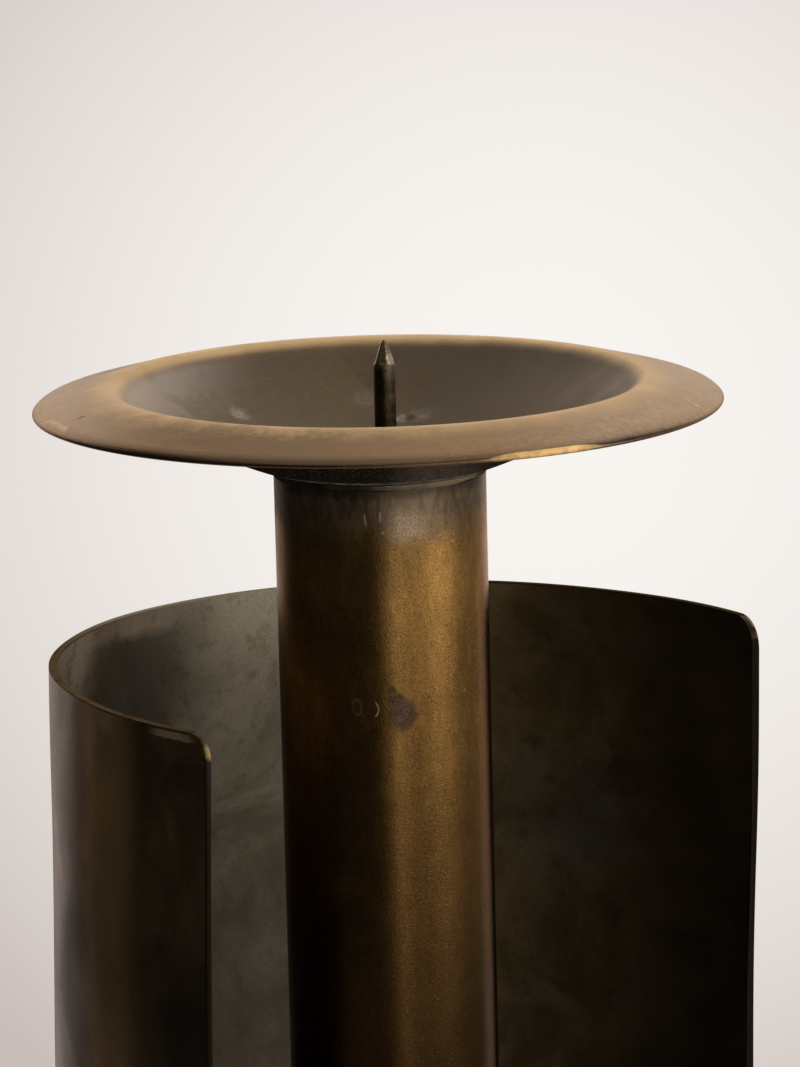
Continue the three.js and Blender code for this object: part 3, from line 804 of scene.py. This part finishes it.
# Foot plug, screw and washer: a turned brass plug brazed into the stem's lower end, and the
# zinc-plated socket screw and washer that pull it down on the plate.
TOOLED_STRETCH = (1, 1, 0.02)
TOOLED_DARK = (0.42, 0.27, 0.11)
TOOLED_BRIGHT = (0.60, 0.43, 0.20)
ZINC_BRIGHT = (0.52, 0.52, 0.50)
ZINC_DULL = (0.36, 0.36, 0.35)


def repainted(finish, *nodes):
    """Gives a finish to plain solids that stay as they are."""
    for node in nodes:
        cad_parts[node].data.materials.clear()
        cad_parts[node].data.materials.append(finish.material)


plug_brass = Finish("plug_brass", Metallic=1)
tooled = plug_brass.mapped(scale=TOOLED_STRETCH)
rings = plug_brass.patches(0.35, 0.65, scale=60, detail=5, place=tooled)
plug_brass.feed(
    Base_Color=plug_brass.mix(rings, TOOLED_DARK, TOOLED_BRIGHT),
    Roughness=0.30 + 0.12 * rings)
repainted(plug_brass, "stem_foot_plug")

zinc = Finish("zinc_plate", Metallic=1)
dull = zinc.patches(0.4, 0.6, scale=700)
zinc.feed(
    Base_Color=zinc.mix(dull, ZINC_BRIGHT, ZINC_DULL),
    Roughness=0.28 + 0.2 * dull)
repainted(zinc, "foot_bolt", "foot_washer")


# Drip pan: brass sheet spun to a bowl with a rounded crest and a falling flange, soldered on the
# stem. Its patina is tan on the flange, darker and mottled in the bowl, and rubbed bright on the
# crest and the edge. Painted light on it: a highlight on the crest, stronger at the back, and a
# glint on the front right edge; painted shade on the bowl's right half, the very edge and the
# underside.
PAN_RADIUS = 0.06347
PAN_SHEET = 0.0008
CREST_RADIUS = 0.0497
CREST_RISE = 0.0043
CREST_ROUND = 0.003
CREST_FALL = 0.008
EDGE_ROLL = 0.004
EDGE_SLOPE = math.radians(50)
BOWL_DEPTH = 0.0188
BOWL_WALL_ANGLE = math.radians(36)
SPIKE_HOLE = 0.0023
SPIKE_OFFSET = 0.0013
HOLE_SHIFT_REACH = 0.012
PAN_STEPS = 256
BOWL_STEPS = 29
CREST_STEPS = 10
FALL_STEPS = 8
ROLL_STEPS = 10
LIP_STEPS = 8
UP = math.pi / 2

# Spots and scratches as on the stem. A scuff's frame is turned so that Y points up, out of the
# flange.
GLINT_SPOT = ((0.0180, -0.0835, 0.2215), 0.005, 0.016, 0.004)
SMUDGE_SPOT = ((-0.0374, -0.0072, 0.2150), 0.0006, 0.0028, 0.0024)
RESIDUE_SPOT = ((-0.0069, -0.0006, 0.2130), 0.0004, 0.0018, 0.0012)
CRUMB_SPOT = ((-0.0034, -0.0003, 0.2136), 0.0006, 0.0030, 0.0024)
WIPE_SPOT = ((-0.0139, 0.0057, 0.2158), 0.001, 0.004, 0.004)
STAIN_SPOT = ((-0.0052, -0.0007, 0.2131), 0.0004, 0.0016, 0.0010)
NICK_SPOT = ((-0.0643, -0.0504, 0.2223), 0.0003, 0.0011, 0.0008)
RIGHT_SCUFF = ((0.0454, -0.0470, 0.2243), (UP, 0, -1.02), 0.0060, 0.00022)
LEFT_SCUFF = ((-0.0687, -0.0510, 0.2209), (UP, 0, -1.19), 0.0130, 0.0008)

TAN_EDGE = (0.96, 0.86, 0.74)
FLANGE_DARK = (0.26, 0.165, 0.094)
FLANGE_TAN = (0.52, 0.330, 0.180)
FLANGE_LEFT = (0.72, 0.500, 0.345)
FLANGE_RIGHT = (0.70, 0.500, 0.335)
FLANGE_MOTTLE = (0.25, 0.155, 0.085)
EDGE_WEAR = (0.26, 0.165, 0.090)
CREST_RUBBED_HIGHLIGHT = (0.94, 0.64, 0.33)
DUST_DARK = (0.19, 0.122, 0.056)
DUST_BROWN = (0.29, 0.198, 0.100)
BOWL_RIGHT_SHADE = (0.085, 0.060, 0.035)
DUST_NEAR = (0.23, 0.190, 0.160)
LILAC_GREY = (0.25, 0.19, 0.150)
LILAC_LEFT = (0.62, 0.52, 0.44)
SMUDGE_PALE = (0.60, 0.53, 0.42)
STAIN_DARK = (0.045, 0.036, 0.018)
NICK_BROWN = (0.10, 0.055, 0.025)
SCUFF_PALE = (0.98, 0.86, 0.66)
RIM_SHADE_BROWN = (0.14, 0.070, 0.040)
GLINT_GOLD = (1.0, 0.62, 0.24)
UNDER_SHADE_BLACK = (0.016, 0.011, 0.006)
UNDER_GOLD = (0.34, 0.23, 0.105)
PASTE = (0.36, 0.280, 0.190)
SMEAR_PALE = (0.72, 0.64, 0.52)
STREAK_SPREAD = 0.006
GLINT_RELIEF = 17000

crest_centre = CREST_RISE - CREST_ROUND
edge_centre = PAN_RADIUS - PAN_SHEET / 2
bowl_floor = CREST_RISE - BOWL_DEPTH
bowl_rim = CREST_RADIUS - CREST_ROUND * math.sin(BOWL_WALL_ANGLE)
bowl_rim_height = crest_centre + CREST_ROUND * math.cos(BOWL_WALL_ANGLE)
bowl_power = bowl_rim * math.tan(BOWL_WALL_ANGLE) / (bowl_rim_height - bowl_floor)
roll_radius = edge_centre - (EDGE_ROLL - PAN_SHEET / 2) * math.sin(EDGE_SLOPE)
roll_height = -(EDGE_ROLL - PAN_SHEET / 2) * math.cos(EDGE_SLOPE)
fall_height = CREST_RISE - CREST_FALL
flange_reach = roll_radius - CREST_RADIUS
flange_rise = roll_height - fall_height
flange_slope = (math.asin((CREST_FALL - EDGE_ROLL) / math.hypot(flange_reach, flange_rise))
                - math.atan2(flange_rise, flange_reach))


def bowl_height(radius):
    """The bowl's upper face: its floor plus its depth times (radius over rim) to a power, which
    gives the wall its angle at the rim."""
    return bowl_floor + (bowl_rim_height - bowl_floor) * (radius / bowl_rim) ** bowl_power


def bowl_underside(radius):
    """The bowl's lower face: the upper one less the sheet's thickness along the slope."""
    slope = math.tan(BOWL_WALL_ANGLE) * (radius / bowl_rim) ** (bowl_power - 1)
    return bowl_height(radius) - PAN_SHEET * np.hypot(1, slope)


def arc(centre_radius, centre_height, radius, start, end, steps):
    """Points of a circle's arc in the outline's plane, from one angle to another."""
    angle = np.linspace(start, end, steps + 1)
    return np.stack([centre_radius + radius * np.cos(angle),
                     centre_height + radius * np.sin(angle)], axis=-1)


def crest_and_flange(depth):
    """The crest and flange from the bowl's rim out to the edge, a depth below the upper face:
    the crest's two roundings, and the roll at the edge, with a straight before it."""
    slope = UP - flange_slope
    return np.concatenate([
        arc(CREST_RADIUS, crest_centre, CREST_ROUND - depth, UP + BOWL_WALL_ANGLE, UP, CREST_STEPS),
        arc(CREST_RADIUS, fall_height, CREST_FALL - depth, UP, slope, FALL_STEPS)[1:],
        arc(roll_radius, roll_height, EDGE_ROLL - depth, slope, UP - EDGE_SLOPE, ROLL_STEPS)])


under_rim = bowl_rim + PAN_SHEET * math.sin(BOWL_WALL_ANGLE)
under_radius = np.linspace(SPIKE_HOLE, under_rim, BOWL_STEPS)[:-1]
upper_radius = np.linspace(SPIKE_HOLE, bowl_rim, BOWL_STEPS)[:-1][::-1]
pan_line = np.concatenate([
    np.stack([under_radius, bowl_underside(under_radius)], axis=-1),
    crest_and_flange(PAN_SHEET),
    arc(edge_centre, 0, PAN_SHEET / 2, -UP - EDGE_SLOPE, UP - EDGE_SLOPE, LIP_STEPS)[1:-1],
    crest_and_flange(0)[::-1],
    np.stack([upper_radius, bowl_height(upper_radius)], axis=-1)])
hole_share = np.clip((HOLE_SHIFT_REACH - pan_line[:, :1]) / (HOLE_SHIFT_REACH - SPIKE_HOLE), 0, 1)
pan_outline = np.concatenate([pan_line, hole_share ** 2 * (3 - 2 * hole_share)], axis=-1)
pan_height = STEM_TOP + SEAT_GAP - bowl_underside(STEM_RADIUS - STEM_WALL)
pan_turned = turned(pan_outline, PAN_STEPS, (SPIKE_OFFSET, 0))
drip_pan = surface("drip_pan_spun", leaning(pan_turned, pan_height),
                   closed_down=True, closed_across=True)
lower_rows = len(under_radius) + len(crest_and_flange(PAN_SHEET))
is_lower = np.arange(len(pan_outline)) < lower_rows
lower_face = drip_pan.data.attributes.new("lower_face", "FLOAT", "POINT")
lower_face.data.foreach_set("value", np.repeat(is_lower, PAN_STEPS).astype(float))
pan_frame = {"location": tuple(leaning(np.zeros(3), pan_height)), "rotation": (0, -LEAN, 0)}


def streaky(finish, x, y, along, low, high):
    """Streaks that run along a turned surface: patches of noise whose place is the direction
    from the axis, as a point on a small circle, and the distance `along` the surface."""
    from_axis = span(x, y)
    around = finish.node("ShaderNodeCombineXYZ", {}, {
        0: x * from_axis ** -1 * STREAK_SPREAD,
        1: y * from_axis ** -1 * STREAK_SPREAD,
        2: along})
    return finish.patches(low, high, scale=1700, rough=0.65, twist=0.2, place=around)


patina = Finish("pan_patina", Specular_Tint=TAN_EDGE)
x, y, _ = patina.apart(patina.mapped(**pan_frame))
from_axis = span(x, y)
mottle = patina.patches(0.34, 0.66, scale=95, detail=7, rough=0.68, twist=0.5)
fine = patina.patches(0.36, 0.66, scale=900, detail=5, rough=0.7)
spread = mottle * 0.6 + fine * 0.4

lilac = patina.between(from_axis + 0.008 * mottle, 0.034, 0.050)
smudge = (1.4 * patina.near(*SMUDGE_SPOT) + 1.3 * patina.near(*RESIDUE_SPOT)
          + 0.5 * patina.near(*CRUMB_SPOT) + 0.3 * patina.near(*WIPE_SPOT))
dust = patina.coats(
    DUST_DARK,
    (spread, DUST_BROWN),
    # Painted shade: the bowl's right half, which faces away from the lights, is made darker.
    (patina.between(x, -0.008, 0.010) * 0.55, BOWL_RIGHT_SHADE),
    (patina.between(y, 0.040, 0.026) * 0.3, DUST_NEAR),
    (lilac * 0.4, LILAC_GREY),
    (lilac * patina.between(x, -0.020, -0.046), LILAC_LEFT),
    (smudge * (0.25 + 0.4 * fine), SMUDGE_PALE),
    (patina.near(*STAIN_SPOT) * 0.7, STAIN_DARK))

edge_wear = patina.between(from_axis, PAN_RADIUS - 0.0040, PAN_RADIUS - 0.0012)
# The crest: rubbed brass with a painted highlight on it, made stronger towards the back.
crest = (patina.between(from_axis, 0.0462, 0.0480)
         * patina.between(from_axis + 0.004 * spread, 0.0585, 0.0505))
crest = crest * (0.6 + 0.3 * patina.between(y, 0.010, 0.040))
to_bowl = from_axis + (patina.cloud(scale=160) - 0.5) * 0.0015 - 0.0014 * patina.between(x, 0, 0.03)
in_bowl = patina.between(to_bowl, 0.0482, 0.0448)
scuffs = patina.line(*RIGHT_SCUFF) + 0.6 * patina.line(*LEFT_SCUFF)
# Painted shade: the flange's very edge, whose lower side faces the pale table, is made dark brown.
rim = patina.between(from_axis, PAN_RADIUS - 0.0004, PAN_RADIUS - 0.0001)
beneath = patina.node("ShaderNodeAttribute", {"attribute_name": "lower_face"}, {}, output="Fac")
# The front right edge: bare brass with a painted glint, whose bump tilts it to catch the soft box.
bare_glint = patina.near(*GLINT_SPOT) * (1 - beneath)
past_lip = from_axis - PAN_RADIUS + 0.0008 * bare_glint
glint = bare_glint * patina.between(past_lip, -0.0002, 0.0003)
beads = patina.patches(0.40, 0.56, scale=420, detail=3)
lip = glint * past_lip.most(0)
tone = patina.coats(
    FLANGE_DARK,
    (patina.between(x, -0.024, 0.024), FLANGE_TAN),
    (patina.between(x, -0.036, -0.064), FLANGE_LEFT),
    (patina.between(x, 0.018, 0.044), FLANGE_RIGHT),
    ((1 - spread) * 0.7, FLANGE_MOTTLE),
    (edge_wear * 0.15 * mottle, EDGE_WEAR),
    (crest, CREST_RUBBED_HIGHLIGHT),
    (in_bowl, dust),
    (patina.near(*NICK_SPOT) * 0.85, NICK_BROWN),
    (scuffs * (0.3 + 0.5 * fine), SCUFF_PALE),
    (rim * 0.45, RIM_SHADE_BROWN),
    (glint * (0.6 + 0.4 * beads), GLINT_GOLD))

seat_ring = patina.within(from_axis, 0.0212, 0.0222, 0.0230, 0.0242)
smear = streaky(patina, x, y, from_axis, 0.42, 0.58)
gold = patina.patches(0.56, 0.64, scale=1500, detail=3, rough=0.7)
pasty = patina.within(x, 0.000, 0.008, 0.012, 0.022)
# The underside: near black, a painted shade under the pan, with gold flecks, paste and solder
# smears of its own.
under = patina.coats(
    UNDER_SHADE_BLACK,
    (gold * 0.7, UNDER_GOLD),
    (pasty * (0.3 + 0.5 * fine), PASTE),
    (seat_ring * smear * 0.9, SMEAR_PALE))
relief = patina.bump(patina.cloud(scale=1600, detail=5, rough=0.6) - GLINT_RELIEF * lip, 0.00005)
patina.feed(
    Base_Color=tone,
    Metallic=0.97 - 0.22 * in_bowl,
    Roughness=0.30 + 0.10 * mottle + 0.08 * in_bowl,
    Normal=relief)
patina.layer(beneath, Base_Color=under, Roughness=0.85, Specular_IOR_Level=0.15, Normal=relief)
stands_for(drip_pan, patina, "pan_brass", "drip_pan")


# Pan solder: the soft-solder seam in the corner between the stem's top and the bowl, with
# runs below it that were never cleaned off.
BEAD_LEG = 0.0010
BEAD_GAP = 0.00002
BEAD_EVEN = 0.86
BEAD_RIPPLES = [(0.08, 5, 1), (0.06, 13, 0)]
BEAD_HOLLOW = 1.5
BEAD_STEPS = 256
BEAD_ARC_STEPS = 7
BEAD_TINT = (0.75, 0.62, 0.48)
FLUX_DARK = (0.030, 0.020, 0.012)
FLUX_BROWN = (0.11, 0.085, 0.055)
FLUX_PASTE = (0.60, 0.450, 0.280)
FLUX_PALE = (0.84, 0.68, 0.47)

bead_angle = np.linspace(0, 2 * np.pi, BEAD_STEPS, endpoint=False)[None, :]
bead_size = BEAD_LEG * (BEAD_EVEN + rippled(bead_angle, BEAD_RIPPLES))
bead_turn = np.linspace(0, np.pi / 2, BEAD_ARC_STEPS)[:, None]
bead_inner = STEM_RADIUS + BEAD_GAP
bead_radius = np.concatenate([
    bead_inner + 0 * bead_angle,
    bead_inner + bead_size * np.sin(bead_turn) ** BEAD_HOLLOW])
bead_top = bowl_underside(bead_radius) - BEAD_GAP
bead_drop = np.concatenate([0 * bead_angle, bead_size * np.cos(bead_turn) ** BEAD_HOLLOW])
pan_bead = surface("pan_solder_seam", leaning(np.stack([
    bead_radius * np.cos(bead_angle), bead_radius * np.sin(bead_angle),
    bead_top - bead_drop], axis=-1), pan_height), closed_down=True, closed_across=True)

flux = Finish("flux_brown", Metallic=0.6, Specular_IOR_Level=0.1, Specular_Tint=BEAD_TINT)
x, y, z = flux.apart(flux.mapped(**pan_frame))
from_axis = span(x, y)
streak = streaky(flux, x, y, from_axis + z, 0.50, 0.64)
streak = streak * flux.between(from_axis, STEM_RADIUS + 0.0006, STEM_RADIUS + 0.0012)
patchy = flux.patches(0.40, 0.62, scale=160, detail=5, rough=0.65)
pasty = flux.within(x, -0.004, 0.003, 0.014, 0.021)
flux.feed(
    Base_Color=flux.coats(
        FLUX_DARK,
        (patchy, FLUX_BROWN),
        (pasty * (0.5 + 0.5 * patchy), FLUX_PASTE),
        (streak * (0.10 + 0.80 * pasty), FLUX_PALE)),
    Roughness=0.65 + 0.2 * patchy,
    Normal=flux.bump(flux.cloud(scale=1500), 0.0001))
stands_for(pan_bead, flux, "solder", "pan_solder")


# Pricket spike: brass rod with a collar and a thread below, put through the pan's floor and
# clamped by a washer and a nut inside the stem. Its point is ground with a few flats.
SPIKE_RADIUS = 0.002
SPIKE_REACH = 0.02609
SPIKE_POINT = 0.0047
SPIKE_TIP = 0.0002
SPIKE_SWELL = 0.8
SPIKE_STEPS = 96
POINT_STEPS = 49
FLATS = 5
FLAT_TURN = math.radians(-30)
FLAT_DEPTH = 0.12
FLAT_RUN_IN = 6
COLLAR_RADIUS = 0.0042
COLLAR_HEIGHT = 0.0016
WASHER_THICKNESS = 0.0008
NUT_HEIGHT = 0.0032
SPIKE_TAIL = 0.0012
ROD_EASES = [0, 0.0003, 0.0001, 0.0002, 0.0003, 0.0002, 0]
BARE_GLINT_SPOT = ((-0.0090, -0.0289, 0.2293), 0.0007, 0.0014, 0.0012)
ROD_DARK = (0.10, 0.072, 0.036)
ROD_BROWN = (0.27, 0.205, 0.125)
SPIKE_LEFT_SHADE = (0.035, 0.024, 0.010)
FILED_GOLD = (0.50, 0.345, 0.155)
BARE_GLINT_GOLD = (1.0, 0.82, 0.56)

collar_low = bowl_height(SPIKE_OFFSET + COLLAR_RADIUS) + SEAT_GAP
collar_top = collar_low + COLLAR_HEIGHT
nut_top = bowl_underside(0.0) - 2 * SEAT_GAP - WASHER_THICKNESS
spike_end = nut_top - NUT_HEIGHT - SPIKE_TAIL
spike_tip = bowl_floor + SPIKE_REACH
shoulder = spike_tip - SPIKE_POINT
rod_corners = [
    (0, spike_end, 0),
    (SPIKE_RADIUS, spike_end, 0),
    (SPIKE_RADIUS, collar_low, 0),
    (COLLAR_RADIUS, collar_low, 0),
    (COLLAR_RADIUS, collar_top, 0),
    (SPIKE_RADIUS, collar_top, 0),
    (SPIKE_RADIUS, spike_tip, 0)]
rod_line = eased(rod_corners, ROD_EASES)
points_to_a_corner = len(rod_line) // len(rod_corners)
point_share = np.linspace(0, 1, POINT_STEPS)
point_radius = SPIKE_TIP + (SPIKE_RADIUS - SPIKE_TIP) * (1 - point_share) ** SPIKE_SWELL
point_height = shoulder + SPIKE_POINT * point_share
point_line = np.stack([point_radius, point_height, 0 * point_share], axis=-1)
rod = turned(np.concatenate([
    rod_line[:-points_to_a_corner], point_line, [[0, spike_tip, 0]]]), SPIKE_STEPS)
flat_angle = np.pi / FLATS
round_point = np.linspace(0, 2 * np.pi, SPIKE_STEPS, endpoint=False) - FLAT_TURN
off_flat = (round_point + flat_angle) % (2 * flat_angle) - flat_angle
flat_depth = FLAT_DEPTH * np.clip((rod[..., 2] - shoulder) / SPIKE_POINT * FLAT_RUN_IN, 0, 1)
rod[..., :2] *= np.minimum(1, (1 - flat_depth) / np.cos(off_flat))[..., None]
spike = surface("pricket_spike_ground", leaning(rod + np.array([SPIKE_OFFSET, 0, 0]), pan_height),
                closed_across=True)

patina = Finish("spike_patina", Metallic=1)
x, _, z = patina.apart(patina.mapped(**pan_frame))
mottle = patina.patches(0.36, 0.66, scale=420, detail=5, rough=0.62)
ragged = (patina.cloud(scale=500) - 0.5) * 0.003
filed = patina.between(z + ragged, shoulder - 0.001, shoulder + 0.002)
# Painted shade: the spike's left half, away from the lights, is made darker, less so on the filed
# point.
left_shade = patina.between(x, SPIKE_OFFSET + 0.0006, SPIKE_OFFSET - 0.0006)
pitted = patina.cloud(scale=1900, detail=4, rough=0.65)
# Bare brass on the filed point, and a painted glint where the point's right side catches the light.
bare_glint = patina.between(pitted, 0.50, 0.60) * filed * 0.5
bare_glint = bare_glint.most(patina.near(*BARE_GLINT_SPOT))
patina.feed(
    Base_Color=patina.coats(
        ROD_DARK,
        (mottle, ROD_BROWN),
        (left_shade * (0.8 - 0.6 * filed), SPIKE_LEFT_SHADE),
        (filed * 0.7, FILED_GOLD),
        (bare_glint, BARE_GLINT_GOLD)),
    Roughness=0.36 + 0.12 * mottle - 0.14 * bare_glint,
    Normal=patina.bump(pitted, 0.00010))
stands_for(spike, patina, "spike_brass", "pricket_spike")
repainted(zinc, "spike_washer", "spike_nut")


# Felt: a disc of dark green wool felt glued under the plate, with a window for the screw.
FELT_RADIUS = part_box("felt_pad")[1].x
FELT_EDGE = 0.0008
FELT_STEPS = 256
WOOL_DARK = (0.018, 0.032, 0.020)
WOOL_GREEN = (0.055, 0.082, 0.055)

felt_outline = eased([
    (COUNTERBORE_RADIUS, PLATE_UNDER, 1),
    (COUNTERBORE_RADIUS, 0, 1),
    (FELT_RADIUS, 0, 0),
    (FELT_RADIUS, PLATE_UNDER, 0)], FELT_EDGE)
felt_pad = surface("felt_pad_cut", turned(felt_outline, FELT_STEPS, STEM_PLACE),
                   closed_down=True, closed_across=True)

wool = Finish("wool_felt", Roughness=1)
fibres = wool.patches(0.35, 0.65, scale=1500, detail=6, rough=0.75, twist=2.0)
wool.feed(
    Base_Color=wool.mix(fibres, WOOL_DARK, WOOL_GREEN),
    Normal=wool.bump(fibres, 0.0002))
stands_for(felt_pad, wool, "felt", "felt_pad")
